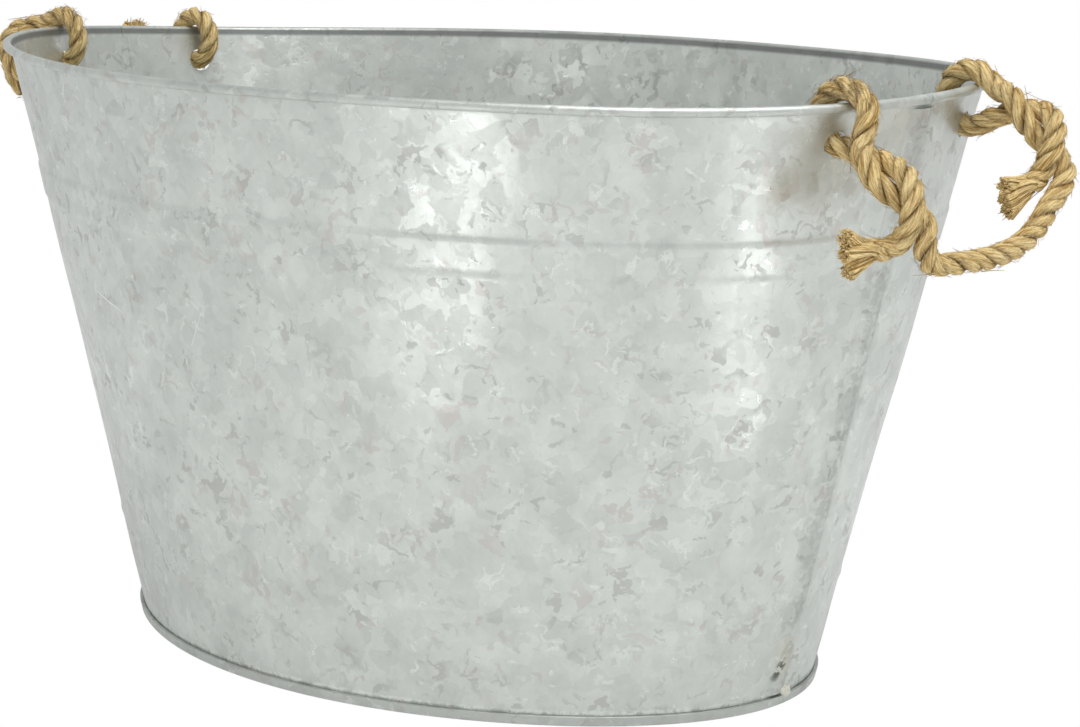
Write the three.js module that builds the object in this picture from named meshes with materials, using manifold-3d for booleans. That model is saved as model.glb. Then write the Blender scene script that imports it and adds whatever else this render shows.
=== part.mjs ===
import * as THREE from 'three';
import { mergeVertices } from 'three/addons/utils/BufferGeometryUtils.js';
import Module from 'manifold-3d';

// Oval galvanised beverage tub with two rope handles.
// Millimetres, +Z up. The origin is the middle of the foot, at the level it stands on,
// and the long axis lies along X.

// Sheet metal and its folds
const sheet = 0.6;
const foldPlay = 0.12;
const foldCorner = 0.4;

// Overall oval, measured outside the rolled rim and outside the foot seam
const rimHalfLength = 278.5;
const rimHalfWidth = 195.5;
const rimFullness = 0.019;
const footHalfLength = 201.4;
const footHalfWidth = 147;
const footFullness = -0.019;
const height = 297;

// The rim is not quite true: it rises and dips as the sheet was rolled
const rimTwist = 2.0;
const rimLift = 0.6;
const rimRipple = 0.85;
const rimLean = 0.5;
const trueBelow = 20;

// Rolled rim and the wire inside it
const wireRadius = 1.5;
const wirePlay = 0.1;
const rollEnd = 295;
const rollStep = 45;

// Foot seam, where base and body are folded round each other
const seamHeight = 5;
const baseRecess = 5.2;

// Lock seams at the two ends of the body
const lockWidth = 6;
const lockMargin = 1;
const panelGap = 0.3;

// Pressed band below the rim, and the ridge above the foot
const bandDrop = 63.5;
const bandWidth = 13;
const bandDepth = 0.8;
const ridgeLevel = 54;
const ridgeWidth = 3;
const ridgeDepth = 0.5;
const pressRamp = 3;
const pressFadeStart = 10;
const pressFadeEnd = 32;

// Rope handles
const ropeDiameter = 10;
const ropePairGap = 0.7;
const ropeSides = 8;
const holeDiameter = 12.4;
const holeDrop = 19;
const handleSpan = 97;
const eyeInset = 2.3;
const eyeDrop = 4.6;
const eyeStep = 24;
const legSteps = 8;

// Dab of sealant at the foot of one lock seam
const dabRadius = 2.4;
const dabThickness = 1.6;
const dabOffset = 7.6;
const dabGap = 0.15;

// Number of flat facets round half of the oval
const halfFacets = 34;

// Sizes that follow from the ones above
const foldPitch = sheet + foldPlay;
const rollRadius = wireRadius + wirePlay + sheet / 2;
const beadRadius = rollRadius + sheet / 2;
const rimLevel = height - beadRadius;
const rimWallInset = beadRadius + rollRadius;
const footWallInset = 3 * foldPitch + sheet / 2;
const lockBottom = baseRecess + sheet + 0.8;
const lockTop = rimLevel - beadRadius - 2;
const lockHalf = lockWidth / 2 + lockMargin;
const baseLevel = baseRecess + sheet / 2;

// Colours and finish
const zinc = new THREE.MeshStandardMaterial({ color: 0xc3c8c4, roughness: 0.5, metalness: 0.75 });
const zincInside = new THREE.MeshStandardMaterial({ color: 0xb0b5b2, roughness: 0.55, metalness: 0.75 });
const steelWire = new THREE.MeshStandardMaterial({ color: 0x8d9192, roughness: 0.5, metalness: 0.9 });
const sisal = new THREE.MeshStandardMaterial({ color: 0xb8935a, roughness: 0.95, metalness: 0 });
const sealant = new THREE.MeshStandardMaterial({ color: 0xe9dfc3, roughness: 0.7, metalness: 0 });

const wasm = await Module();
wasm.setup();

const degrees = (angle) => (angle * Math.PI) / 180;
const mix = THREE.MathUtils.lerp;
const smooth = THREE.MathUtils.smoothstep;

// The middle of the wall's sheet at a level, as an oval
function ovalAt(level) {
  const share = level / rimLevel;
  return {
    halfLength: mix(footHalfLength - footWallInset, rimHalfLength - rimWallInset, share),
    halfWidth: mix(footHalfWidth - footWallInset, rimHalfWidth - rimWallInset, share),
    fullness: mix(footFullness, rimFullness, share),
  };
}

function ovalPoint(oval, turn) {
  const swell = 1 + oval.fullness * Math.sin(2 * turn) ** 2;
  return new THREE.Vector2(
    oval.halfLength * swell * Math.cos(turn),
    oval.halfWidth * swell * Math.sin(turn),
  );
}

function ovalNormal(oval, turn) {
  const step = 1e-4;
  const along = ovalPoint(oval, turn + step).sub(ovalPoint(oval, turn - step)).normalize();
  return new THREE.Vector2(along.y, -along.x);
}

// The turn at which the oval reaches a given distance y from the long axis, near the +X end
function turnAtY(oval, y) {
  let low = -1;
  let high = 1;
  for (let i = 0; i < 40; i += 1) {
    const middle = (low + high) / 2;
    if (ovalPoint(oval, middle).y < y) {
      low = middle;
    } else {
      high = middle;
    }
  }
  return (low + high) / 2;
}

function rimWarp(turn) {
  return (
    rimTwist * Math.sin(2 * turn) +
    rimLift * Math.cos(2 * turn) +
    rimRipple * Math.sin(4 * turn) -
    rimLean * Math.sin(3 * turn)
  );
}

function warpShare(level) {
  return THREE.MathUtils.clamp((level - trueBelow) / (rimLevel - trueBelow), 0, 1);
}

// A point of the metalwork: out is measured from the middle of the wall's sheet, level is the
// height before the rim's warp, and hung points keep the oval of the rim at every level.
function place(turn, { out, level, pressed = 0, hung = false }) {
  const oval = ovalAt(hung ? rimLevel : level);
  const point = ovalPoint(oval, turn);
  const normal = ovalNormal(oval, turn);
  const fade = smooth(Math.abs(point.y), pressFadeStart, pressFadeEnd);
  point.addScaledVector(normal, out + pressed * fade);
  return new THREE.Vector3(point.x, point.y, level + rimWarp(turn) * warpShare(level));
}

// Closed outline of a sheet that follows a path of points in the (out, level) plane
function sheetOutline(path) {
  const sides = [1, -1].map((side) =>
    path.map((point, i) => {
      const before = path[Math.max(i - 1, 0)];
      const after = path[Math.min(i + 1, path.length - 1)];
      const arrive = new THREE.Vector2(point.out - before.out, point.level - before.level).normalize();
      const leave = new THREE.Vector2(after.out - point.out, after.level - point.level).normalize();
      const along = arrive.clone().add(leave).normalize();
      const reach = sheet / 2 / Math.max(along.dot(leave), along.dot(arrive), 0.5);
      return {
        ...point,
        out: point.out - side * along.y * reach,
        level: point.level + side * along.x * reach,
      };
    }),
  );
  return [...sides[0], ...sides[1].reverse()];
}

// The triangles that close the end of a swept sheet, from one face of the sheet to the other
function sheetCap(outline) {
  const last = outline.length - 1;
  const triangles = [];
  for (let i = 0; i < outline.length / 2 - 1; i += 1) {
    triangles.push([i, i + 1, last - i]);
    triangles.push([i + 1, last - i - 1, last - i]);
  }
  return triangles;
}

// A closed mesh through a row of rings that all have the same number of points
function loft(rings, { closed = false, cap = null, fans = null } = {}) {
  const size = rings[0].length;
  const positions = rings.flat().flatMap((point) => [point.x, point.y, point.z]);
  const indices = [];
  const ringPairs = closed ? rings.length : rings.length - 1;
  const pointPairs = fans ? size - 1 : size;
  for (let i = 0; i < ringPairs; i += 1) {
    const here = i * size;
    const next = ((i + 1) % rings.length) * size;
    for (let j = 0; j < pointPairs; j += 1) {
      const k = (j + 1) % size;
      indices.push(here + j, next + j, next + k, here + j, next + k, here + k);
    }
  }
  if (cap) {
    const last = (rings.length - 1) * size;
    for (const [a, b, c] of cap) {
      indices.push(a, b, c, last + c, last + b, last + a);
    }
  }
  if (fans) {
    const centres = rings.length * size;
    positions.push(...fans[0], ...fans[1]);
    for (let i = 0; i < rings.length; i += 1) {
      const here = i * size;
      const next = ((i + 1) % rings.length) * size;
      indices.push(next, here, centres);
      indices.push(here + size - 1, next + size - 1, centres + 1);
    }
  }
  const geometry = new THREE.BufferGeometry();
  geometry.setAttribute('position', new THREE.Float32BufferAttribute(positions, 3));
  geometry.setIndex(indices);
  return geometry;
}

function flipped(geometry) {
  const index = geometry.getIndex().array;
  for (let i = 0; i < index.length; i += 3) {
    [index[i], index[i + 1]] = [index[i + 1], index[i]];
  }
  return geometry;
}

function toManifold(geometry) {
  const bare = geometry.clone();
  bare.deleteAttribute('normal');
  bare.deleteAttribute('uv');
  const merged = mergeVertices(bare, 1e-5);
  const mesh = new wasm.Mesh({
    numProp: 3,
    vertProperties: Float32Array.from(merged.attributes.position.array),
    triVerts: Uint32Array.from(merged.getIndex().array),
  });
  return new wasm.Manifold(mesh);
}

function toGeometry(manifold) {
  const mesh = manifold.getMesh();
  const geometry = new THREE.BufferGeometry();
  geometry.setAttribute('position', new THREE.BufferAttribute(mesh.vertProperties, 3));
  geometry.setIndex(new THREE.BufferAttribute(mesh.triVerts, 1));
  geometry.computeVertexNormals();
  return geometry;
}

function namedMesh(name, geometry, material) {
  const mesh = new THREE.Mesh(geometry, material);
  mesh.name = name;
  return mesh;
}

// The sheet's path from the hook in the foot seam, up the wall, to the end of the rolled rim
function panelPath() {
  const fold = sheet / 2 + foldPitch;
  const bandTop = height - bandDrop;
  const bandBottom = bandTop - bandWidth;
  const path = [
    { out: 2 * foldPitch, level: seamHeight - sheet - foldPlay },
    { out: 2 * foldPitch, level: fold + foldCorner },
    { out: 2 * foldPitch - foldCorner, level: fold },
    { out: foldCorner, level: fold },
    { out: 0, level: fold + foldCorner },
    { out: 0, level: lockBottom - 0.6 },
    { out: 0, level: lockBottom },
    { out: 0, level: trueBelow },
    { out: 0, level: ridgeLevel - ridgeWidth },
    { out: 0, level: ridgeLevel, pressed: ridgeDepth },
    { out: 0, level: ridgeLevel + ridgeWidth },
    { out: 0, level: bandBottom - pressRamp },
    { out: 0, level: bandBottom, pressed: bandDepth },
    { out: 0, level: bandTop, pressed: bandDepth },
    { out: 0, level: bandTop + pressRamp },
    { out: 0, level: lockTop },
    { out: 0, level: lockTop + 0.6 },
  ];
  for (let angle = 0; angle < rollEnd + rollStep; angle += rollStep) {
    const turn = degrees(180 - Math.min(angle, rollEnd));
    path.push({
      out: rollRadius * (1 + Math.cos(turn)),
      level: rimLevel + rollRadius * Math.sin(turn),
      hung: true,
    });
  }
  return path;
}

// A panel stops short of the lock seam over the seam's height, and meets its neighbour elsewhere
function panelEdgeY(level, hung) {
  const beside = !hung && level > lockBottom - 0.1 && level < lockTop + 0.1;
  return beside ? lockHalf : panelGap / 2;
}

// One half of the body, on the side y < 0 or y > 0
function panelShell(side) {
  const outline = sheetOutline(panelPath());
  const rings = [];
  for (let i = 0; i <= halfFacets; i += 1) {
    rings.push(
      outline.map((point) => {
        const oval = ovalAt(point.hung ? rimLevel : point.level);
        const start = turnAtY(oval, panelEdgeY(point.level, point.hung));
        return place(side * mix(start, Math.PI - start, i / halfFacets), point);
      }),
    );
  }
  const shell = loft(rings, { cap: sheetCap(outline) });
  return side > 0 ? shell : flipped(shell);
}

// The two hooked edges of a lock seam, as outlines across the seam in (y, out).
// The inner edge runs flush inside and its hook opens back over it.
// The outer edge steps out, crosses over the hook and turns back into it.
function lockOutlines() {
  const half = lockWidth / 2;
  const corner = foldCorner;
  const inner = [
    [-lockHalf - 1, 0],
    [half - corner, 0],
    [half, corner],
    [half, 2 * foldPitch - corner],
    [half - corner, 2 * foldPitch],
    [-half + 0.9, 2 * foldPitch],
  ];
  const outer = [
    [lockHalf + 1, 0],
    [lockHalf, 0],
    [half + foldPitch, corner + foldPlay],
    [half + foldPitch, 3 * foldPitch - corner],
    [half + foldPitch - corner, 3 * foldPitch],
    [-half + corner, 3 * foldPitch],
    [-half, 3 * foldPitch - corner],
    [-half, foldPitch + corner],
    [-half + corner, foldPitch],
    [half - 1.3, foldPitch],
  ];
  return [inner, outer].map((path) =>
    sheetOutline(path.map(([across, out]) => ({ out: across, level: out }))).map(
      (point) => new THREE.Vector2(point.out, point.level),
    ),
  );
}

// A lock seam's edge runs in a straight line up the end of the body
function lockStrip(outline, end, mirror) {
  const turn = end > 0 ? 0 : Math.PI;
  const rings = [lockBottom + 0.2, lockTop - 0.2].map((level) =>
    outline.map(({ x: across, y: out }) => {
      const foot = place(turn, { out, level });
      return new THREE.Vector3(foot.x, mirror * across, foot.z);
    }),
  );
  return loft(rings, { cap: sheetCap(outline) });
}

function outward(geometry) {
  const position = geometry.getAttribute('position');
  const index = geometry.getIndex();
  const [a, b, c] = [new THREE.Vector3(), new THREE.Vector3(), new THREE.Vector3()];
  let volume = 0;
  for (let i = 0; i < index.count; i += 3) {
    a.fromBufferAttribute(position, index.getX(i));
    b.fromBufferAttribute(position, index.getX(i + 1));
    c.fromBufferAttribute(position, index.getX(i + 2));
    volume += a.dot(b.cross(c));
  }
  return volume < 0 ? flipped(geometry) : geometry;
}

// Where the wall is at a level, at a distance y from the long axis, on the end given
function wallAt(end, y, level) {
  const near = turnAtY(ovalAt(level), y);
  const turn = end > 0 ? near : Math.PI - near;
  return { turn, point: place(turn, { out: 0, level }) };
}

// A rope hole is set by its drop below the top of the rim
function ropeHole(end, y) {
  const level = height - holeDrop;
  const { turn, point } = wallAt(end, y, level);
  const above = place(turn, { out: 0, level: level + 1 }).sub(point);
  const beside = place(turn + 0.001, { out: 0, level }).sub(point);
  const normal = beside.cross(above).normalize();
  return { point, normal };
}

function holeCutter(end, y) {
  const { point, normal } = ropeHole(end, y);
  const cutter = new THREE.CylinderGeometry(holeDiameter / 2, holeDiameter / 2, 8, 24);
  cutter.applyQuaternion(new THREE.Quaternion().setFromUnitVectors(new THREE.Vector3(0, 1, 0), normal));
  cutter.translate(point.x, point.y, point.z);
  return cutter;
}

function bodyPanel(side) {
  const [inner, outer] = lockOutlines();
  let panel = toManifold(outward(panelShell(side)));
  for (const end of [1, -1]) {
    // The front panel has the flush edge at both ends, and the back panel the stepped one
    const outline = side < 0 ? inner : outer;
    panel = panel.add(toManifold(outward(lockStrip(outline, end, 1))));
    panel = panel.subtract(toManifold(holeCutter(end, (side * handleSpan) / 2)));
  }
  return toGeometry(panel);
}

// Base: a flat floor, a wall down inside the body, and the fold that closes the foot seam
function basePanel() {
  const bottom = sheet / 2;
  const top = seamHeight - sheet / 2;
  const outside = 3 * foldPitch;
  const path = [
    { out: foldPitch, level: bottom + 2 * foldPitch + 0.1 },
    { out: foldPitch, level: top - foldCorner },
    { out: foldPitch + foldCorner, level: top },
    { out: outside - foldCorner, level: top },
    { out: outside, level: top - foldCorner },
    { out: outside, level: bottom + foldCorner },
    { out: outside - foldCorner, level: bottom },
    { out: -foldPitch + foldCorner, level: bottom },
    { out: -foldPitch, level: bottom + foldCorner },
    { out: -foldPitch, level: baseLevel - foldCorner },
    { out: -foldPitch - foldCorner, level: baseLevel },
    { out: -foldPitch - 4, level: baseLevel },
  ];
  const edge = sheetOutline(path);
  const seam = edge.findIndex((point) => point.out === -foldPitch - 4);
  const outline = [...edge.slice(seam + 1), ...edge.slice(0, seam + 1)];
  const rings = [];
  for (let i = 0; i < 2 * halfFacets; i += 1) {
    rings.push(outline.map((point) => place((i * Math.PI) / halfFacets, point)));
  }
  const fans = [outline[0], outline[outline.length - 1]].map((point) => [0, 0, point.level]);
  return outward(loft(rings, { closed: true, fans }));
}

function rimWire() {
  const rings = [];
  for (let i = 0; i < 2 * halfFacets; i += 1) {
    const ring = [];
    for (let angle = 0; angle < 360; angle += rollStep) {
      ring.push(
        place((i * Math.PI) / halfFacets, {
          out: rollRadius + wireRadius * Math.cos(degrees(angle)),
          level: rimLevel + wireRadius * Math.sin(degrees(angle)),
          hung: true,
        }),
      );
    }
    rings.push(ring);
  }
  return outward(loft(rings, { closed: true }));
}

// Rope handles. Every route is given from the middle of the handle's swing axis, in (out, up,
// along), where along runs from the front eye to the back one. A leg is the line round which
// the rope's standing part and its end are twisted, from the eye outwards.
const handles = [
  {
    name: 'handle_right',
    end: 1,
    front: {
      leg: [
        [10.5, -14.5, -48.5],
        [19, -21, -48.5],
        [30, -28, -48.5],
        [37, -36, -48.5],
        [38, -45, -48.5],
        [35, -53, -46.5],
      ],
      leave: [15, -95],
      twist: [60, 330],
      tail: [
        [26, -54, -57],
        [24, -53, -67],
        [22.5, -51.5, -78],
      ],
    },
    span: [
      [39, -61, -37],
      [43, -62, -25],
      [46, -62, -12],
      [49, -60.5, 2],
      [51, -57, 14],
      [51, -52, 25],
      [50.5, -45.5, 34],
    ],
    back: {
      leg: [
        [15.5, -1.5, 48.5],
        [23, -1, 48.5],
        [31, -4.5, 48.5],
        [38, -9.5, 48.5],
        [43, -16, 48],
        [46, -23.5, 46.5],
        [47, -31, 44.5],
      ],
      leave: [50, -75],
      twist: [-10, 315],
      tail: [
        [42, -34, 35],
        [41, -36, 26],
        [40, -38, 17],
      ],
    },
  },
  {
    name: 'handle_left',
    end: -1,
    front: {
      leg: [
        [15.5, 3, -48.5],
        [23, 3.5, -48.5],
        [32, 1.5, -48.5],
        [40, -3, -48],
        [46, -10, -47],
        [49, -18, -45],
      ],
      leave: [55, -55],
      twist: [20, 345],
      tail: [
        [42, -23, -36],
        [40.5, -24, -27],
        [39.5, -24, -18],
      ],
    },
    span: [
      [52, -29, -38],
      [53.5, -35, -27],
      [54.5, -38, -14],
      [54.5, -37.5, -2],
      [53, -33.5, 9],
    ],
    back: {
      leg: [
        [13.5, -10, 48.5],
        [21, -13.5, 47.5],
        [29, -15, 44],
        [36.5, -16, 38],
        [43, -18.5, 30.5],
        [48, -23, 22],
      ],
      leave: [30, -88],
      twist: [35, 320],
      tail: [
        [39, -10, 30],
        [34, -1.5, 29.5],
        [31, 7, 29.5],
      ],
    },
  },
];

// The middle of an eye, which the rope rounds over the rim and through its hole
function eyeCentre(end, y) {
  const { turn } = wallAt(end, y, rimLevel);
  const bead = place(turn, { out: rollRadius, level: rimLevel, hung: true });
  return new THREE.Vector3(bead.x - end * eyeInset, y, bead.z - eyeDrop);
}

// The frame of a handle: its swing axis passes through the middles of both eyes
function handleFrame(end) {
  const eyes = [-1, 1].map((side) => eyeCentre(end, (side * handleSpan) / 2));
  const middle = eyes[0].clone().add(eyes[1]).divideScalar(2);
  const along = eyes[1].clone().sub(eyes[0]).normalize();
  const out = new THREE.Vector3(end, 0, 0);
  const up = new THREE.Vector3(0, -along.z, along.y);
  const reach = eyes[1].distanceTo(eyes[0]) / 2;
  const radius = eyes.map((eye, i) => {
    const hole = ropeHole(end, ((2 * i - 1) * handleSpan) / 2).point.sub(eye);
    return Math.hypot(hole.x, hole.dot(up));
  });
  return { middle, out, up, along, reach, radius: (radius[0] + radius[1]) / 2 };
}

// One of the two ropes that twist round a leg, starting at the eye
function twistedRope({ leg, twist }, phase) {
  const line = new THREE.CatmullRomCurve3(leg.map((point) => new THREE.Vector3(...point)));
  const radius = (ropeDiameter + ropePairGap) / 2;
  const points = [];
  for (let i = 0; i <= legSteps; i += 1) {
    const share = i / legSteps;
    const tangent = line.getTangentAt(share);
    const near = new THREE.Vector3(0, 0, -1);
    near.addScaledVector(tangent, -near.dot(tangent)).normalize();
    const upper = new THREE.Vector3().crossVectors(tangent, near);
    const angle = degrees(mix(twist[0], twist[1], share) + phase);
    const point = line.getPointAt(share);
    point.addScaledVector(upper, radius * Math.cos(angle));
    point.addScaledVector(near, radius * Math.sin(angle));
    points.push(point);
  }
  return points;
}

// The round part of an eye, from the end's side of the hole over the rim to the standing part
function eyeArc([standing, end], radius, along) {
  const sweep = 360 + end - standing;
  const steps = Math.round(sweep / eyeStep);
  const points = [];
  for (let i = 0; i <= steps; i += 1) {
    const angle = degrees(end - (sweep * i) / steps);
    points.push(new THREE.Vector3(radius * Math.cos(angle), radius * Math.sin(angle), along));
  }
  return points;
}

// One end of the rope, from its cut end, round its eye and along the standing part
function ropeEnd(part, radius, along) {
  return [
    ...part.tail.map((point) => new THREE.Vector3(...point)).reverse(),
    ...twistedRope(part, 180).reverse(),
    ...eyeArc(part.leave, radius, along),
    ...twistedRope(part, 0),
  ];
}

class RopeRoute extends THREE.CatmullRomCurve3 {
  // Sections stand at the route's own points, which are closer where it bends
  getUtoTmapping(u) {
    return u;
  }
}

function ropeHandle(handle) {
  const frame = handleFrame(handle.end);
  const local = [
    ...ropeEnd(handle.front, frame.radius, -frame.reach),
    ...handle.span.map((point) => new THREE.Vector3(...point)),
    ...ropeEnd(handle.back, frame.radius, frame.reach).reverse(),
  ];
  const points = local.map((point) =>
    frame.middle
      .clone()
      .addScaledVector(frame.out, point.x)
      .addScaledVector(frame.up, point.y)
      .addScaledVector(frame.along, point.z),
  );
  const section = new THREE.Shape();
  for (let i = 0; i < ropeSides; i += 1) {
    const angle = (2 * Math.PI * i) / ropeSides;
    const corner = [(ropeDiameter / 2) * Math.cos(angle), (ropeDiameter / 2) * Math.sin(angle)];
    if (i === 0) {
      section.moveTo(...corner);
    } else {
      section.lineTo(...corner);
    }
  }
  section.closePath();
  return new THREE.ExtrudeGeometry(section, {
    steps: points.length - 1,
    extrudePath: new RopeRoute(points, false, 'centripetal'),
    curveSegments: 1,
  });
}

// A flattened drop of sealant on the wall, beside the lock seam and above the foot seam
function sealantDab() {
  const level = seamHeight + dabGap + dabRadius;
  const { turn, point } = wallAt(1, dabOffset, level);
  const normal = ovalNormal(ovalAt(level), turn);
  const dab = new THREE.SphereGeometry(1, 12, 8);
  dab.scale(dabThickness / 2, dabRadius, dabRadius);
  dab.rotateZ(Math.atan2(normal.y, normal.x));
  const stand = sheet / 2 + dabGap + dabThickness / 2 + dabRadius / 4;
  dab.translate(point.x + normal.x * stand, point.y + normal.y * stand, point.z);
  return dab;
}

const tub = new THREE.Group();
tub.add(namedMesh('front_panel', bodyPanel(-1), zinc));
tub.add(namedMesh('back_panel', bodyPanel(1), zinc));
tub.add(namedMesh('base_panel', basePanel(), zincInside));
tub.add(namedMesh('rim_wire', rimWire(), steelWire));
for (const handle of handles) {
  tub.add(namedMesh(handle.name, ropeHandle(handle), sisal));
}
tub.add(namedMesh('sealant_dab', sealantDab(), sealant));

export default tub;
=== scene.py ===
import math
import random

import bmesh
import bpy
import numpy as np
from mathutils import Matrix, Vector


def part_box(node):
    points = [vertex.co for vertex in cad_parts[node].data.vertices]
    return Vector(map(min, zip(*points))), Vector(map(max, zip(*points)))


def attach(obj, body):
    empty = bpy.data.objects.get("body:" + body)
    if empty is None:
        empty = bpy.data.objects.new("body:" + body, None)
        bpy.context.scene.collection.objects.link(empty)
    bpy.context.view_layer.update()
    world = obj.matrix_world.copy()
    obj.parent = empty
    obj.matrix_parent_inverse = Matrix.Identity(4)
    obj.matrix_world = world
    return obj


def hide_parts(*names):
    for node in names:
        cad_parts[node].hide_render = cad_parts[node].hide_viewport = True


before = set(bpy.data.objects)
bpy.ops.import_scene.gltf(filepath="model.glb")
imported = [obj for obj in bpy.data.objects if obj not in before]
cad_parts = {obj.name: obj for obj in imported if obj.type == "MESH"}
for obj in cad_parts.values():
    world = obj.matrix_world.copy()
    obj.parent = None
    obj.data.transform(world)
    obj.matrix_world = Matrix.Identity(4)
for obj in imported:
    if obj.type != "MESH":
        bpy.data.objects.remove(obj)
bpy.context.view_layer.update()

MM = 0.001

# The photograph's frame, in pixels
IMAGE_WIDTH = 1080
IMAGE_HEIGHT = 727

# Sizes in millimetres, as in the solids
SHEET = 0.6
PITCH = 0.72
CORNER = 0.4
RIM_HALF_LENGTH = 278.5
RIM_HALF_WIDTH = 195.5
RIM_FULLNESS = 0.019
FOOT_HALF_LENGTH = 201.4
FOOT_HALF_WIDTH = 147.0
FOOT_FULLNESS = -0.019
HEIGHT = 297.0
TRUE_BELOW = 20.0
ROLL_RADIUS = 1.9
BEAD_RADIUS = 2.2
RIM_LEVEL = HEIGHT - BEAD_RADIUS
RIM_INSET = BEAD_RADIUS + ROLL_RADIUS
FOOT_INSET = 3 * PITCH + SHEET / 2
SEAM_HEIGHT = 5.0
BASE_LEVEL = 5.5
LOCK_HALF = 4.0
LOCK_BOTTOM = 6.6
LOCK_TOP = RIM_LEVEL - BEAD_RADIUS - 2
BAND_TOP = HEIGHT - 63.5
BAND_BOTTOM = BAND_TOP - 13
BAND_EDGE = 3.0
BAND_HEIGHT = 0.8
RIDGE = 54.0
RIDGE_REACH = 3.0
RIDGE_HEIGHT = 0.5
ROPE = 10.0
ROPE_GAP = 0.7
HANDLE_SPAN = 97.0
HOLE_DROP = 19.0
HOLE_RADIUS = 6.2
EYE_INSET = 2.3
EYE_DROP = 4.6
EYE_STEP = 24
LEG_STEPS = 8

# Parts of a panel's section: hook round the base, wall, and roll round the wire
HOOK, WALL, ROLL = 0, 1, 2
LOCK_ROWS = 60

# Visible rope: its lay, the radius of a strand and of the circle that the strands lie on, and how
# far they may stand out from the middle of the rope
LAY = 27.0
STRAND = 2.75
STRAND_CIRCLE = 2.75
PROUD = 5.15
STRAND_SIDES = 42
YARNS = 9
YARN_TURN = 1.25

# Shade between the strands: how far from the rope's middle it starts, and how deep it goes
SHADE_FROM = 5.1
SHADE_DEPTH = 2.2

# Samples, 1 mm apart, over which the rope is opened into a fan at each end
OPENED = 17

# Loose fibres on a rope
HAIRS = 1900
SPLINTERS = 130

# Colours of the zinc
ZINC_LIGHT = (0.70, 0.735, 0.70)
ZINC_DARK = (0.57, 0.60, 0.57)
FLOOR_LIGHT = (0.62, 0.65, 0.62)
FLOOR_DARK = (0.50, 0.53, 0.50)
# Painted shade for the fold of the foot seam
FOOT_FOLD_PAINTED_SHADE = (0.42, 0.43, 0.41)
GREY_LEAF = (0.47, 0.475, 0.45)
BROWN_LEAF = (0.55, 0.51, 0.48)
PALE_LEAF = (0.80, 0.84, 0.80)

# Colours of the wall's marks, the painted shade inside the rim and painted light in the foot seam
RIM_SHADE = (0.21, 0.22, 0.215)
FOOT_SEAM_PAINTED_LIGHT = (0.94, 0.96, 0.93)
SEAM_MOTTLE = (0.45, 0.47, 0.45)
SCRATCH_EDGE = (0.50, 0.51, 0.49)
SCRATCH_BRIGHT = (0.92, 0.94, 0.92)
STAIN = (0.74, 0.72, 0.55)
SCUFF = (0.12, 0.12, 0.11)

# Colours of the rope and its hairs, from palest to darkest; the last is painted shade
SISAL = ((1.0, 0.81, 0.44), (1.0, 0.76, 0.35), (0.38, 0.21, 0.045), (0.14, 0.075, 0.015))
SISAL_HAIR = ((0.95, 0.78, 0.48), (0.80, 0.60, 0.31), (0.6, 0.42, 0.2), (0.3, 0.2, 0.1))

SEALANT_DARK = (0.60, 0.60, 0.50)
SEALANT_LIGHT = (0.78, 0.78, 0.68)

# Both ends of each mark on the wall
SCRATCHES = (((-109, -157, 182), (-77, -165, 174)), ((-21, -171, 167), (-5, -176, 194)))
STAIN_LINE = ((208.5, -2, 33), (206.5, -1, 20))
SCUFF_LINE = ((206, -5.5, 15.5), (207.5, -1.5, 23.5))


def add_object(name, data):
    """A new object in the scene."""
    made = bpy.data.objects.new(name, data)
    bpy.context.collection.objects.link(made)
    return made


def add_camera():
    """The photograph's viewpoint, its focal length and centre in pixels."""
    stand = Vector((0.9949, -1.0609, 0.4121))
    target = Vector((0.00045, 0.00042, 0.15365))
    roll = 0.01005
    focal = 2872.4
    centre = (470.56, 335.63)
    forward = (target - stand).normalized()
    right = forward.cross(Vector((0, 0, 1))).normalized()
    up = right.cross(forward)
    across = right * math.cos(roll) + up * math.sin(roll)
    above = up * math.cos(roll) - right * math.sin(roll)
    data = bpy.data.cameras.new("camera")
    data.sensor_width = 36
    data.lens = focal / IMAGE_WIDTH * data.sensor_width
    data.shift_x = (IMAGE_WIDTH / 2 - centre[0]) / IMAGE_WIDTH
    data.shift_y = (centre[1] - IMAGE_HEIGHT / 2) / IMAGE_WIDTH
    data.clip_end = 50
    camera = add_object("camera", data)
    turn = Matrix((across, above, -forward)).transposed()
    camera.matrix_world = Matrix.Translation(stand) @ turn.to_4x4()
    bpy.context.scene.camera = camera


add_camera()
bpy.context.scene.view_settings.view_transform = "Standard"


def oval_at(level):
    """Half length, half width and fullness of the oval."""
    share = level / RIM_LEVEL
    length = (1 - share) * (FOOT_HALF_LENGTH - FOOT_INSET) + share * (RIM_HALF_LENGTH - RIM_INSET)
    width = (1 - share) * (FOOT_HALF_WIDTH - FOOT_INSET) + share * (RIM_HALF_WIDTH - RIM_INSET)
    fullness = (1 - share) * FOOT_FULLNESS + share * RIM_FULLNESS
    return length, width, fullness


def rim_warp(turn):
    """How far the rim is bent up or down."""
    twist = 2.0 * np.sin(2 * turn) + 0.6 * np.cos(2 * turn)
    return twist + 0.85 * np.sin(4 * turn) - 0.5 * np.sin(3 * turn)


def smooth_step(value, low, high):
    """0 below low, 1 above high, smooth between."""
    share = np.clip((value - low) / (high - low), 0, 1)
    return share * share * (3 - 2 * share)


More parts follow.
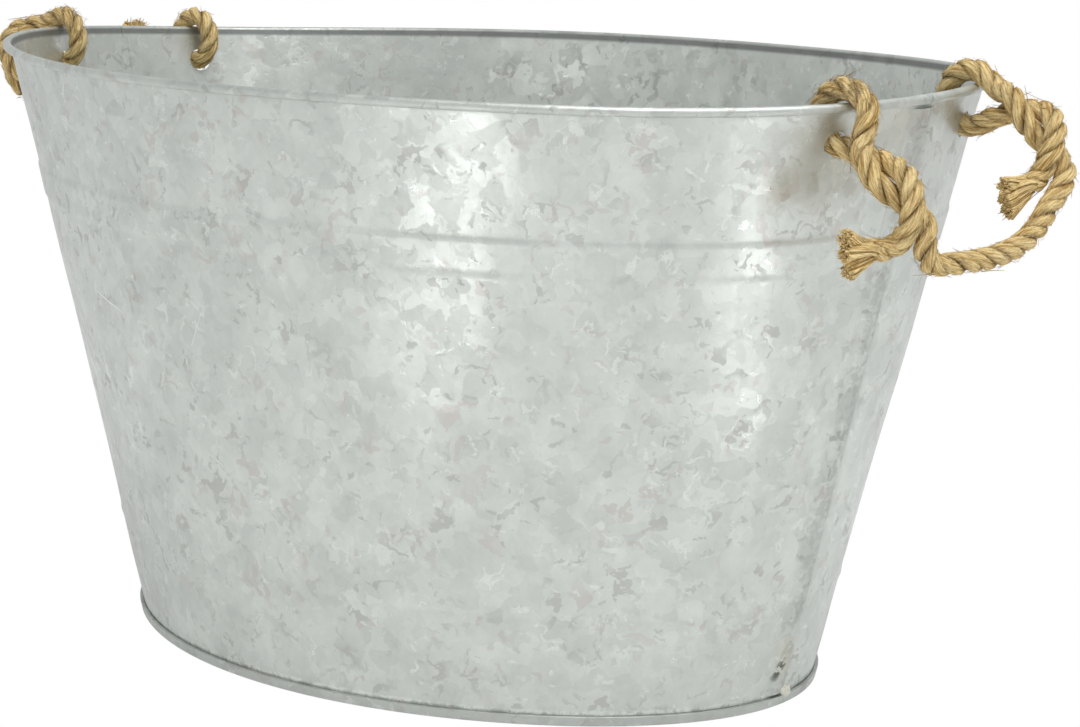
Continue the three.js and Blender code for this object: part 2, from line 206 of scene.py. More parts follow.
def place(turn, out, level, hung=False, flat=0.0):
    """Points in millimetres. out is measured from the middle of the sheet, hung points keep the
    rim's oval at every level, and flat is the share by which a point is drawn to the middle."""
    turn, out, level, flat = np.broadcast_arrays(turn, out, level, flat)
    oval_level = np.where(hung, RIM_LEVEL, level)
    length, width, fullness = oval_at(oval_level)
    swell = 1 + fullness * np.sin(2 * turn) ** 2
    change = 2 * fullness * np.sin(4 * turn)
    x = length * swell * np.cos(turn)
    y = width * swell * np.sin(turn)
    along_x = length * (change * np.cos(turn) - swell * np.sin(turn))
    along_y = width * (change * np.sin(turn) + swell * np.cos(turn))
    size = np.hypot(along_x, along_y)
    x = (x + out * along_y / size) * (1 - flat)
    y = (y - out * along_x / size) * (1 - flat)
    share = np.clip((level - TRUE_BELOW) / (RIM_LEVEL - TRUE_BELOW), 0, 1)
    return np.stack([x, y, level + rim_warp(turn) * share], -1)


def turn_at_y(level, y):
    """The turn near the +X end where a plain oval reaches y."""
    width = oval_at(level)[1]
    return np.arcsin(np.clip(y / width, -1, 1))


def waves(turn, level):
    """The slow unevenness of the hand-made wall."""
    round_ = turn * 230
    return (
        0.22 * np.sin(round_ / 31 + level / 47 + 0.4)
        + 0.18 * np.sin(round_ / 17 - level / 29 + 2.1)
        + 0.12 * np.sin(level / 13 + round_ / 71)
        + 0.10 * np.sin(round_ / 11 + level / 19 + 4.0)
    )


def pressed(turn, level):
    """How far the wall stands out from its straight line: bands, ridge and unevenness."""
    y = place(turn, 0, level)[..., 1]
    fade = smooth_step(np.abs(y), 10, 32)
    band = smooth_step(level, BAND_BOTTOM - BAND_EDGE, BAND_BOTTOM)
    band = band * (1 - smooth_step(level, BAND_TOP, BAND_TOP + BAND_EDGE))
    ridge = np.clip(1 - np.abs(level - RIDGE) / RIDGE_REACH, 0, 1)
    quiet = smooth_step(level, 8, 40) * (1 - smooth_step(level, 268, 288))
    beside = smooth_step(np.abs(y), 4, 14)
    raised = BAND_HEIGHT * band + RIDGE_HEIGHT * ridge
    return raised * fade + waves(turn, level) * quiet * beside


def unit(rows):
    """The same directions, each of length 1."""
    return rows / np.linalg.norm(rows, axis=1)[:, None]


def sheet_outline(path):
    """Both faces of a sheet that follows a path, as one closed outline."""
    path = np.asarray(path, float)
    step = unit(np.diff(path, axis=0))
    arrive = np.vstack([step[:1], step])
    leave = np.vstack([step, step[-1:]])
    along = unit(arrive + leave)
    reach = SHEET / 2 / np.maximum((along * leave).sum(1), 0.5)
    side = np.stack([along[:, 1], -along[:, 0]], 1) * reach[:, None]
    return np.vstack([path + side, (path - side)[::-1]])


def arc(centre, radius, start, end, count):
    """Points on an arc between two angles in degrees."""
    angle = np.radians(np.linspace(start, end, count))
    return [(centre[0] + radius * math.cos(a), centre[1] + radius * math.sin(a)) for a in angle]


def new_object(name, points, faces, sharp=35, attributes=None):
    """A smooth object from points in millimetres."""
    mesh = bpy.data.meshes.new(name)
    mesh.from_pydata((np.asarray(points) * MM).tolist(), [], faces)
    mesh.update()
    mesh.polygons.foreach_set("use_smooth", [True] * len(mesh.polygons))
    if sharp:
        mesh.set_sharp_from_angle(angle=math.radians(sharp))
    for key, values in (attributes or {}).items():
        layer = mesh.attributes.new(key, "FLOAT_VECTOR", "POINT")
        layer.data.foreach_set("vector", np.asarray(values, np.float32).ravel())
    return add_object(name, mesh)


def grid_faces(rows, columns, first=0, wrap_rows=False, wrap_columns=True):
    """Four-sided faces between rows of points."""
    faces = []
    for i in range(rows if wrap_rows else rows - 1):
        here = first + i * columns
        next_ = first + ((i + 1) % rows) * columns
        for j in range(columns if wrap_columns else columns - 1):
            k = (j + 1) % columns
            faces.append((here + j, next_ + j, next_ + k, here + k))
    return faces


def cap_faces(columns, start, end):
    """The strips that close both ends of a swept sheet outline."""
    faces = []
    for i in range(columns // 2 - 1):
        j = columns - 1 - i
        faces.append((start + i, start + i + 1, start + j - 1, start + j))
        faces.append((end + j, end + j - 1, end + i + 1, end + i))
    return faces


def panel_path():
    """A panel's section from its hook to its rolled rim, and which part each point is in."""
    fold = SHEET / 2 + PITCH
    path = [(2 * PITCH, SEAM_HEIGHT - SHEET - 0.12)]
    path += arc((2 * PITCH - CORNER, fold + CORNER), CORNER, 0, -90, 4)
    path += arc((CORNER, fold + CORNER), CORNER, -90, -180, 4)
    hooked = len(path)
    levels = [5.8, LOCK_BOTTOM]
    levels += list(np.arange(10, 214, 4.0))
    levels += list(np.arange(216, 239, 1.5))
    levels += list(np.arange(242, LOCK_TOP - 2, 4.0))
    levels += [RIDGE - 1.2, RIDGE + 1.2]
    levels += [LOCK_TOP, LOCK_TOP + 0.15]
    path += [(0, level) for level in sorted(levels)]
    walled = len(path)
    path += arc((ROLL_RADIUS, RIM_LEVEL), ROLL_RADIUS, 180, -115, 25)
    kind = np.full(len(path), HOOK)
    kind[hooked:walled] = WALL
    kind[walled:] = ROLL
    return path, kind


def panel(name, side, steps=210):
    """Half of the body: y below 0 for side -1, above 0 for side 1."""
    path, kind = panel_path()
    outline = sheet_outline(path)
    kind = np.concatenate([kind, kind[::-1]])
    out, level = outline[:, 0], outline[:, 1]
    hung = kind == ROLL
    beside = (kind == WALL) & (level > LOCK_BOTTOM - 0.1) & (level < LOCK_TOP + 0.1)
    edge = np.where(beside, LOCK_HALF, 0.15)
    start = turn_at_y(np.where(hung, RIM_LEVEL, level), edge)
    share = np.linspace(0, 1, steps)[:, None]
    turn = side * (start + (math.pi - 2 * start) * share)
    wall = np.where(kind == WALL, 1.0, 0.0)
    points = place(turn, out + wall * pressed(turn, level), level, hung)
    columns = len(outline)
    faces = grid_faces(steps, columns) + cap_faces(columns, 0, (steps - 1) * columns)
    if side < 0:
        faces = [face[::-1] for face in faces]
    points = points.reshape(-1, 3)
    lock = lock_outlines()[0 if side < 0 else 1]
    for end in (1, -1):
        more_points, more_faces = lock_edge(lock, end, len(points))
        points = np.vstack([points, more_points])
        faces += more_faces
    return new_object(name, points, faces)


def lock_outlines():
    """Sections of the two folded edges that hook into each other at a lock seam."""
    half = 3.0
    inner = [(-LOCK_HALF, 0)]
    inner += arc((half - CORNER, CORNER), CORNER, -90, 0, 5)
    inner += arc((half - CORNER, 2 * PITCH - CORNER), CORNER, 0, 90, 5)
    inner += [(-half + 0.9, 2 * PITCH)]
    reach = half + PITCH
    outer = [(LOCK_HALF, 0), (LOCK_HALF - 0.05, 0.12), (reach, 0.5)]
    outer += arc((reach - CORNER, 3 * PITCH - CORNER), CORNER, 0, 90, 5)
    outer += arc((-half + CORNER, 3 * PITCH - CORNER), CORNER, 90, 180, 5)
    outer += arc((-half + CORNER, PITCH + CORNER), CORNER, 180, 270, 5)
    outer += [(half - 1.3, PITCH)]
    return sheet_outline(inner), sheet_outline(outer)


def lock_fillings():
    """The zinc that fills the corners beside the fold outside, and the joint inside."""
    left = [(-8.5, 0.24), (-7, 0.38), (-5.6, 0.8), (-4.4, 1.5), (-3.2, 2.2), (-1.8, 2.48)]
    right = [(2.4, 2.48), (3.8, 2.25), (5, 1.6), (6.2, 0.85), (7.6, 0.38), (9.2, 0.24)]
    inside = [(4.5, -0.31), (3.9, -0.3), (3.5, -0.16), (3.1, -0.3), (2.4, -0.31)]
    points, faces = np.zeros((0, 3)), []
    for top in (left + right, inside):
        outline = np.array(top + [(across, 0.1) for across, _ in reversed(top)])
        for end in (1, -1):
            more_points, more_faces = lock_edge(outline, end, len(points))
            points = np.vstack([points, more_points])
            faces += more_faces
    return new_object("fillings", points, faces)


def join_into(obj, extra):
    """Add the extra object's mesh to the first one's, and drop the extra object."""
    both = bmesh.new()
    both.from_mesh(obj.data)
    both.from_mesh(extra.data)
    both.to_mesh(obj.data)
    both.free()
    bpy.data.objects.remove(extra)


def mark_levels(obj):
    """Keep each point's height on the sheet, without the twist of the rim, for its material."""
    points = np.array([vertex.co[:] for vertex in obj.data.vertices]) / MM
    turn = np.arctan2(points[:, 1] / RIM_HALF_WIDTH, points[:, 0] / RIM_HALF_LENGTH)
    share = np.clip((points[:, 2] - TRUE_BELOW) / (RIM_LEVEL - TRUE_BELOW), 0, 1)
    level = points[:, 2] - rim_warp(turn) * share
    layer = obj.data.attributes.new("level", "FLOAT", "POINT")
    layer.data.foreach_set("value", level.astype(np.float32))


def lock_edge(outline, end, first):
    """A section swept up the lock seam at one end: its points and faces."""
    levels = np.linspace(LOCK_BOTTOM + 0.05, LOCK_TOP - 0.05, LOCK_ROWS)[:, None]
    across, out = outline[:, 0], outline[:, 1]
    turn = turn_at_y(levels, across)
    points = place(turn, out, levels)
    points[..., 0] *= end
    if end < 0:
        points[..., 2] = place(math.pi - turn, out, levels)[..., 2]
    columns = len(outline)
    faces = grid_faces(LOCK_ROWS, columns, first)
    faces += cap_faces(columns, first, first + (LOCK_ROWS - 1) * columns)
    area = np.cross(outline, np.roll(outline, -1, 0)).sum()
    if (area > 0) == (end < 0):
        faces = [face[::-1] for face in faces]
    return points.reshape(-1, 3), faces


def hole_cutters():
    """Round cutters for the four rope holes."""
    cutters = []
    for end in (1, -1):
        for y in (-HANDLE_SPAN / 2, HANDLE_SPAN / 2):
            level = HEIGHT - HOLE_DROP
            near = float(turn_at_y(level, y))
            turn = near if end > 0 else math.pi - near
            point = place(turn, 0, level)
            above = place(turn, 0, level + 1) - point
            beside = place(turn + 0.001, 0, level) - point
            normal = Vector(np.cross(beside, above)).normalized()
            bpy.ops.mesh.primitive_cylinder_add(vertices=48, radius=HOLE_RADIUS * MM, depth=0.012)
            cutter = bpy.context.object
            turn_to = normal.to_track_quat("Z", "Y").to_matrix().to_4x4()
            cutter.data.transform(Matrix.Translation(Vector(point) * MM) @ turn_to)
            cutters.append(cutter)
    return cutters


def cut_holes(obj, cutters):
    """Cut the rope holes out of a sheet."""
    for cutter in cutters:
        cut = obj.modifiers.new("hole", "BOOLEAN")
        cut.object = cutter
        cut.operation = "DIFFERENCE"
        cut.solver = "EXACT"
    graph = bpy.context.evaluated_depsgraph_get()
    mesh = bpy.data.meshes.new_from_object(obj.evaluated_get(graph))
    obj.modifiers.clear()
    obj.data = mesh


def base(name, steps=360):
    """The floor, its short wall inside the body and the fold of the foot seam."""
    bottom = SHEET / 2
    top = SEAM_HEIGHT - SHEET / 2
    outside = 3 * PITCH
    path = [(PITCH, bottom + 2 * PITCH + 0.1)]
    path += arc((PITCH + CORNER, top - CORNER), CORNER, 180, 90, 5)
    path += arc((outside - CORNER, top - CORNER), CORNER, 90, 0, 5)
    path += arc((outside - CORNER, bottom + CORNER), CORNER, 0, -90, 5)
    path += arc((-PITCH + CORNER, bottom + CORNER), CORNER, -90, -180, 5)
    path += arc((-PITCH - CORNER, BASE_LEVEL - CORNER), CORNER, 0, 90, 5)
    path += [(-PITCH - 3 - i, BASE_LEVEL) for i in range(2)]
    outline = sheet_outline(path)
    half = len(path)
    first = outline[:half]
    second = outline[half:][::-1]
    turn = np.linspace(0, 2 * math.pi, steps + 1)[:-1, None]
    shares = np.linspace(0, 1, 26)[1:-1]

    def disc(points):
        last = points[-1]
        rows = [place(turn, last[0], last[1], False, share) for share in shares]
        return np.concatenate(rows, 1)

    face_one = np.concatenate([place(turn, first[:, 0], first[:, 1]), disc(first)], 1)
    face_two = np.concatenate([place(turn, second[:, 0], second[:, 1]), disc(second)], 1)
    for face in (face_one, face_two):
        inner = face[:, half:, :]
        x, y = inner[..., 0], inner[..., 1]
        fade = np.minimum(1, 4 * shares[None, :])
        inner[..., 2] += 0.5 * np.sin(x / 61 + 0.5) * np.sin(y / 47 + 1.1) * fade
    rings = np.concatenate([face_one[:, ::-1, :], face_two], 1)
    columns = rings.shape[1]
    faces = grid_faces(steps, columns, 0, True, False)
    points = rings.reshape(-1, 3)
    centres = [points[0::columns].mean(0), points[columns - 1 :: columns].mean(0)]
    points = np.vstack([points, centres])
    middle = steps * columns
    for i in range(steps):
        here = i * columns
        next_ = ((i + 1) % steps) * columns
        faces.append((next_, here, middle))
        faces.append((here + columns - 1, next_ + columns - 1, middle + 1))
    return new_object(name, points, faces)


# Rope routes, in millimetres from the middle of each handle's swing axis, as (out, up, along).
# leave: angles of the eye's two ends. twist: how the tail turns round its leg. short: points that a
# tail leaves out, to turn off its leg in a rounder bend than the solid's.
HANDLES = [
    {
        "name": "handle_right",
        "body": "right_handle",
        "end": 1,
        "front": {
            "leg": [
                (10.5, -14.5, -48.5), (19, -21, -48.5), (30, -28, -48.5), (37, -36, -48.5),
                (38, -45, -48.5), (35, -53, -46.5),
            ],
            "leave": (15, -95),
            "twist": (60, 330),
            "tail": [(26, -54, -57), (24, -53, -67), (22.5, -51.5, -78)],
            "fan": {"rise": (0, 0, 1), "angles": (9, -8, -30), "lengths": (17, 16.5, 15)},
        },
        "span": [
            (39, -61, -37), (43, -62, -25), (46, -62, -12), (49, -60.5, 2), (51, -57, 14),
            (51, -52, 25), (50.5, -45.5, 34),
        ],
        "back": {
            "leg": [
                (15.5, -1.5, 48.5), (23, -1, 48.5), (31, -4.5, 48.5), (38, -9.5, 48.5),
                (43, -16, 48), (46, -23.5, 46.5), (47, -31, 44.5),
            ],
            "leave": (50, -75),
            "twist": (-10, 315),
            "tail": [(42, -34, 35), (41, -36, 26), (40, -38, 17)],
            "fan": {"rise": (0, 0, 1), "angles": (10, -4, -18), "lengths": (16, 17, 17)},
        },
    },
    {
        "name": "handle_left",
        "body": "left_handle",
        "end": -1,
        "front": {
            "leg": [
                (15.5, 3, -48.5), (23, 3.5, -48.5), (32, 1.5, -48.5), (40, -3, -48),
                (46, -10, -47), (49, -18, -45),
            ],
            "leave": (55, -55),
            "twist": (20, 345),
            "tail": [(42, -23, -36), (40.5, -24, -27), (39.5, -24, -18)],
            "fan": {"rise": (0, 0, 1), "angles": (20, 0, -20), "lengths": (16, 16, 16)},
        },
        "span": [
            (52, -29, -38), (53.5, -35, -27), (54.5, -38, -14), (54.5, -37.5, -2),
            (53, -33.5, 9),
        ],
        "back": {
            "leg": [
                (13.5, -10, 48.5), (21, -13.5, 47.5), (29, -15, 44), (36.5, -16, 38),
                (43, -18.5, 30.5), (48, -23, 22),
            ],
            "leave": (30, -88),
            "twist": (35, 320),
            "short": 3,
            "tail": [(39, -10, 30), (34, -1.5, 29.5), (31, 7, 29.5)],
            "fan": {"rise": (0, 1, 0), "angles": (8, 0, -8), "lengths": (15, 15, 15)},
        },
    },
]


def catmull(points, per_span):
    """Centripetal spline through all the points, and the share of each sample's span."""
    points = np.asarray(points, float)
    padded = np.vstack([2 * points[0] - points[1], points, 2 * points[-1] - points[-2]])
    samples = []
    for i in range(len(points) - 1):
        p0, p1, p2, p3 = padded[i : i + 4]
        t0 = 0.0
        t1 = t0 + math.sqrt(np.linalg.norm(p1 - p0))
        t2 = t1 + math.sqrt(np.linalg.norm(p2 - p1))
        t3 = t2 + math.sqrt(np.linalg.norm(p3 - p2))
        for t in np.linspace(t1, t2, per_span + 1)[:-1]:
            a1 = (t1 - t) / (t1 - t0) * p0 + (t - t0) / (t1 - t0) * p1
            a2 = (t2 - t) / (t2 - t1) * p1 + (t - t1) / (t2 - t1) * p2
            a3 = (t3 - t) / (t3 - t2) * p2 + (t - t2) / (t3 - t2) * p3
            b1 = (t2 - t) / (t2 - t0) * a1 + (t - t0) / (t2 - t0) * a2
            b2 = (t3 - t) / (t3 - t1) * a2 + (t - t1) / (t3 - t1) * a3
            samples.append((t2 - t) / (t2 - t1) * b1 + (t - t1) / (t2 - t1) * b2)
    samples.append(points[-1])
    return np.array(samples)


def resample(points, spacing):
    """Points at even steps along a line, and how far along it each one is."""
    length = np.concatenate([[0], np.cumsum(np.linalg.norm(np.diff(points, axis=0), axis=1))])
    count = max(int(round(length[-1] / spacing)), 2)
    at = np.linspace(0, length[-1], count + 1)
    return np.stack([np.interp(at, length, points[:, i]) for i in range(3)], 1), at


def swing_frame(end):
    """The middle of a handle's swing axis, its directions out, up and along, and the eyes."""
    eyes = []
    holes = []
    for y in (-HANDLE_SPAN / 2, HANDLE_SPAN / 2):
        near = float(turn_at(RIM_LEVEL, y))
        turn = near if end > 0 else math.pi - near
        bead = place(turn, ROLL_RADIUS, RIM_LEVEL, True)
        eyes.append(np.array([bead[0] - end * EYE_INSET, y, bead[2] - EYE_DROP]))
        level = HEIGHT - HOLE_DROP
        near = float(turn_at(level, y))
        turn = near if end > 0 else math.pi - near
        holes.append(place(turn, 0, level))
    middle = (eyes[0] + eyes[1]) / 2
    along = eyes[1] - eyes[0]
    reach = np.linalg.norm(along) / 2
    along = along / np.linalg.norm(along)
    out = np.array([end, 0.0, 0.0])
    up = np.array([0.0, -along[2], along[1]])
    radius = [math.hypot(h[0] - e[0], float((h - e) @ up)) for h, e in zip(holes, eyes)]
    return middle, out, up, along, reach, sum(radius) / 2


def turn_at(level, y):
    """The exact turn near the +X end where the oval reaches y."""
    low, high = -1.0, 1.0
    for _ in range(40):
        middle = (low + high) / 2
        if place(middle, 0, level)[1] < y:
            low = middle
        else:
            high = middle
    return (low + high) / 2


def twisted(part, phase):
    """A leg's line, or at phase 180 its tail's line, as they turn round each other."""
    leg = catmull(part["leg"], 40)
    leg, _ = resample(leg, np.linalg.norm(np.diff(leg, axis=0), axis=1).sum() / LEG_STEPS)
    radius = (ROPE + ROPE_GAP) / 2
    tangent = unit(np.gradient(leg, axis=0))
    near = unit(np.array([0.0, 0.0, -1.0]) - tangent * -tangent[:, 2:])
    upper = np.cross(tangent, near)
    share = np.linspace(0, 1, len(leg))
    start, end = part["twist"]
    angle = np.radians(start + (end - start) * share + phase)
    return leg + radius * (upper * np.cos(angle)[:, None] + near * np.sin(angle)[:, None])


def eye_arc(leave, radius, along):
    """The round of an eye, over the rim and through the hole."""
    sweep = 360 + leave[1] - leave[0]
    steps = round(sweep / EYE_STEP)
    angle = np.radians(leave[1] - sweep * np.arange(steps + 1) / steps)
    return np.stack([radius * np.cos(angle), radius * np.sin(angle), np.full(steps + 1, along)], 1)


def rope_end(part, radius, along):
    """From a cut end along the tail, round the eye and out along the leg."""
    tail = np.array(part["tail"], float)[::-1]
    laid = twisted(part, 180)[: LEG_STEPS + 1 - part.get("short", 0)][::-1]
    return np.vstack([tail, laid, eye_arc(part["leave"], radius, along), twisted(part, 0)])


def rope_route(handle):
    """The points of a rope's centreline, in millimetres."""
    middle, out, up, along, reach, radius = swing_frame(handle["end"])
    front = rope_end(handle["front"], radius, -reach)
    back = rope_end(handle["back"], radius, reach)[::-1]
    local = np.vstack([front, np.array(handle["span"], float), back])
    return middle + local[:, :1] * out + local[:, 1:2] * up + local[:, 2:] * along


def rounded(line, passes=250):
    """The same line, sampled at about 1 mm, with turns tighter than about 8 mm eased."""
    line = line.copy()
    for _ in range(passes):
        ease = line[:-2] - 2 * line[1:-1] + line[2:]
        bend = np.linalg.norm(ease, axis=1)
        share = np.clip((bend - 0.1) * 10, 0, 1)
        line[1:-1] += 0.25 * share[:, None] * ease
    return line


def rope_frames(line):
    """The direction at each point of a line, and two more square to it."""
    tangent = unit(np.gradient(line, axis=0))
    normal = np.zeros_like(line)
    start = np.cross(tangent[0], [0, 0, 1.0])
    normal[0] = start / np.linalg.norm(start)
    for i in range(1, len(line)):
        carried = normal[i - 1] - tangent[i] * (normal[i - 1] @ tangent[i])
        normal[i] = carried / np.linalg.norm(carried)
    return tangent, normal, np.cross(tangent, normal)


def soft_noise(rng, count, spacing):
    """Smooth random values between about -1 and 1 along a line."""
    knots = np.array([rng.uniform(-1, 1) for _ in range(int(count / spacing) + 4)])
    at = np.linspace(0, len(knots) - 3.001, count)
    low = at.astype(int)
    share = at - low
    share = share * share * (3 - 2 * share)
    return knots[low] * (1 - share) + knots[low + 1] * share


def strand_lines(line, at, rng):
    """The centrelines of the three strands, with their directions and half widths."""
    _, normal, binormal = rope_frames(line)
    count = len(line)
    strands = []
    for number in range(3):
        twist = 2 * math.pi * (at / LAY + number / 3) + 0.25 * soft_noise(rng, count, 30)
        offset = STRAND_CIRCLE + 0.18 * soft_noise(rng, count, 14)
        radial = normal * np.cos(twist)[:, None] + binormal * np.sin(twist)[:, None]
        centre = line + radial * offset[:, None]
        forward = unit(np.gradient(centre, axis=0))
        side = unit(np.cross(forward, radial))
        strand = {
            "twist": twist,
            "width": STRAND + 0.18 * soft_noise(rng, count, 9),
            "centre": centre,
            "side": side,
            "outward": np.cross(side, forward),
        }
        strands.append(strand)
    return strands


def tube_faces(rows, sides, first):
    """The faces of a tube of rings, closed at both ends."""
    faces = grid_faces(rows, sides, first)
    faces.append(tuple(range(first, first + sides)))
    last = first + (rows - 1) * sides
    faces.append(tuple(last + j for j in reversed(range(sides))))
    return [face[::-1] for face in faces]


def rope_strands(name, line, at, strands):
    """The laid stretch of the rope: three strands of yarns, as one mesh."""
    laid = slice(OPENED, len(line) - OPENED)
    count = len(line) - 2 * OPENED
    angle = 2 * math.pi * np.arange(STRAND_SIDES) / STRAND_SIDES
    grain = np.random.default_rng(5)
    points, faces, lay, shade = [], [], [], []
    first = 0
    for number, strand in enumerate(strands):
        fibre = angle + YARN_TURN * strand["twist"][laid, None]
        groove = 1 - np.abs(np.cos(YARNS / 2 * fibre))
        rough = grain.standard_normal(fibre.shape)
        rough = rough + np.roll(rough, 1, 0) + np.roll(rough, 2, 0) + np.roll(rough, 3, 0)
        reach = strand["width"][laid, None] * (1 - 0.12 * groove**2 + 0.026 * rough)
        ring = (
            strand["centre"][laid, None, :]
            + strand["outward"][laid, None, :] * (reach * np.cos(angle))[..., None]
            + strand["side"][laid, None, :] * (reach * np.sin(angle))[..., None]
        )
        out = ring - line[laid, None, :]
        depth = np.linalg.norm(out, axis=-1)
        ring = line[laid, None, :] + out * np.minimum(1, PROUD / depth)[..., None]
        points.append(ring.reshape(-1, 3))
        faces += tube_faces(count, STRAND_SIDES, first)
        run = np.broadcast_to(at[laid, None], fibre.shape)
        round_ = [STRAND * np.cos(fibre) + 20 * number, STRAND * np.sin(fibre), run]
        lay.append(np.stack(round_, -1).reshape(-1, 3))
        depth = np.clip((SHADE_FROM - depth) / SHADE_DEPTH, 0, 1)
        shade.append(np.stack([groove, depth, 0 * depth], -1).reshape(-1, 3))
        first += count * STRAND_SIDES
    attributes = {"lay": np.vstack(lay), "shade": np.vstack(shade)}
    return new_object(name, np.vstack(points), faces, 0, attributes)


def thin_tube(path, radius, sides, first):
    """A thin tapered tube along a path: its points and faces."""
    _, normal, binormal = rope_frames(path)
    angle = 2 * math.pi * np.arange(sides) / sides
    across = normal[:, None, :] * np.cos(angle)[:, None]
    beside = binormal[:, None, :] * np.sin(angle)[:, None]
    reach = np.broadcast_to(radius, len(path))[:, None, None]
    ring = path[:, None, :] + (across + beside) * reach
    return ring.reshape(-1, 3), tube_faces(len(path), sides, first)


def tube_bundle(name, tubes, sides, sharp=0):
    """One object from many (path, radius, offset of its texture) tubes."""
    points, faces, lay = [], [], []
    first = 0
    for path, radius, offset in tubes:
        tube, more_faces = thin_tube(path, radius, sides, first)
        points.append(tube)
        faces += more_faces
        ring = 2 * math.pi * (np.arange(len(tube)) % sides) / sides
        run = np.arange(len(tube)) // sides * 2.0
        lay.append(np.stack([offset + 0.6 * np.cos(ring), 0.6 * np.sin(ring), run], -1))
        first += len(tube)
    return new_object(name, np.vstack(points), faces, sharp, {"lay": np.vstack(lay)})


def stray_fibres(name, line, rng):
    """Loose hairs, thickest where the first eye bends over the rim, and long splinters."""
    tangent, normal, binormal = rope_frames(line)
    crown = int(np.argmax(line[: len(line) // 2, 2]))
    tubes = []
    share = np.linspace(0, 1, 4)[:, None]
    for number in range(HAIRS + SPLINTERS):
        i = rng.randrange(OPENED, len(line) - OPENED)
        if rng.random() < 0.15:
            i = int(crown + rng.gauss(0, 8))
        angle = rng.uniform(0, 2 * math.pi)
        radial = normal[i] * math.cos(angle) + binormal[i] * math.sin(angle)
        beside = np.cross(tangent[i], radial)
        lift = rng.uniform(0.05, 0.5)
        length = rng.uniform(1.2, 4.5)
        thickness = rng.uniform(0.1, 0.17)
        if number >= HAIRS:
            lift = rng.uniform(0.0, 0.12)
            length = rng.uniform(5, 14)
            thickness = rng.uniform(0.17, 0.3)
        way = tangent[i] * rng.choice([-1, 1]) + radial * lift + beside * rng.uniform(-0.6, 0.6)
        way /= np.linalg.norm(way)
        bend = (radial * rng.uniform(-0.5, 0.5) + beside * rng.uniform(-0.7, 0.7)) * length * 0.25
        path = line[i] + radial * rng.uniform(4.5, 5.2) + way * length * share + bend * share**2
        tubes.append((path, thickness * np.array([1, 0.9, 0.7, 0.35]), rng.uniform(0, 90)))
    return tube_bundle(name, tubes, 3)


def hermite(start, leave, end, arrive, count):
    """A smooth line that leaves and arrives in given directions."""
    share = np.linspace(0, 1, count)[:, None]
    return (
        (2 * share**3 - 3 * share**2 + 1) * start
        + (share**3 - 2 * share**2 + share) * leave
        + (3 * share**2 - 2 * share**3) * end
        + (share**3 - share**2) * arrive
    )


def opened_end(name, line, centres, fan, rng):
    """The end of the rope: its strands spread like a fan, each a bundle of yarns cut flat."""
    root = line[-OPENED]
    way = line[-1] - root
    way /= np.linalg.norm(way)
    rise = np.array(fan["rise"], float)
    rise -= way * (rise @ way)
    rise /= np.linalg.norm(rise)
    order = sorted(range(3), key=lambda k: -(centres[k][-OPENED] - root) @ rise)
    tubes = []
    share = np.linspace(0, 1, 8)
    for slot, number in enumerate(order):
        start = centres[number][-OPENED - 2]
        leave = centres[number][-OPENED] - start
        leave /= np.linalg.norm(leave)
        angle = math.radians(fan["angles"][slot])
        goal = way * math.cos(angle) + rise * math.sin(angle)
        reach = fan["lengths"][slot]
        end = root + goal * reach + rise * (1 - slot) * 2.4
        core = hermite(start, leave * reach, end, goal * reach * 0.8, len(share))
        _, across, beside = rope_frames(core)
        for ring, count in ((0, 1), (0.32, 6), (0.63, 12), (0.94, 18)):
            for j in range(count):
                turn = 2 * math.pi * j / count + rng.gauss(0, 0.12) + 0.9 * share
                out = ring * (2.2 + 1.5 * share) * rng.uniform(0.85, 1.1)
                round_ = across * np.cos(turn)[:, None] + beside * np.sin(turn)[:, None]
                path = core + round_ * out[:, None]
                path[-1] += goal * rng.uniform(-1.2, 0.8)
                radius = (0.46 + 0.2 * share) * rng.uniform(0.8, 1.15)
                tubes.append((path, radius, rng.uniform(0, 90)))
        for _ in range(16):
            turn = rng.uniform(0, 2 * math.pi)
            out = across[-1] * math.cos(turn) + beside[-1] * math.sin(turn)
            tip = core[-1] + out * rng.uniform(0.5, 3.2)
            sway = goal + out * rng.uniform(-0.3, 0.7)
            path = tip + sway * rng.uniform(0.8, 3.4) * np.linspace(-0.6, 1, 4)[:, None]
            tubes.append((path, np.array([0.2, 0.2, 0.16, 0.1]), rng.uniform(0, 90)))
    return tube_bundle(name, tubes, 5, 40)


def material(name):
    """A new material, its tree and its main shader."""
    made = bpy.data.materials.new(name)
    made.use_nodes = True
    tree = made.node_tree
    return made, tree, tree.nodes["Principled BSDF"]


def node(tree, kind, values=None, **settings):
    """A new shader node, whose inputs are constants or linked sockets."""
    made = tree.nodes.new("ShaderNode" + kind)
    for key, value in settings.items():
        setattr(made, key, value)
    for key, value in (values or {}).items():
        if isinstance(value, bpy.types.NodeSocket):
            tree.links.new(value, made.inputs[key])
        else:
            made.inputs[key].default_value = value
    return made


def maths(tree, operation, a, b=0.0, c=0.0):
    return node(tree, "Math", {0: a, 1: b, 2: c}, operation=operation).outputs[0]


def vectors(tree, operation, a, b=(0, 0, 0)):
    return node(tree, "VectorMath", {0: a, 1: b}, operation=operation).outputs[0]


def times(tree, a, b):
    return maths(tree, "MULTIPLY", a, b)


def plus(tree, a, factor, b):
    return maths(tree, "MULTIPLY_ADD", a, factor, b)


def measure(tree, operation, a, b):
    """One number from two vectors."""
    return node(tree, "VectorMath", {0: a, 1: b}, operation=operation).outputs["Value"]


def attribute(tree, name):
    return node(tree, "Attribute", attribute_name=name).outputs


def xyz(tree, vector):
    return node(tree, "SeparateXYZ", {0: vector}).outputs


def scaled(tree, vector, factor):
    keys = {0: vector, "Scale": factor}
    return node(tree, "VectorMath", keys, operation="SCALE").outputs[0]


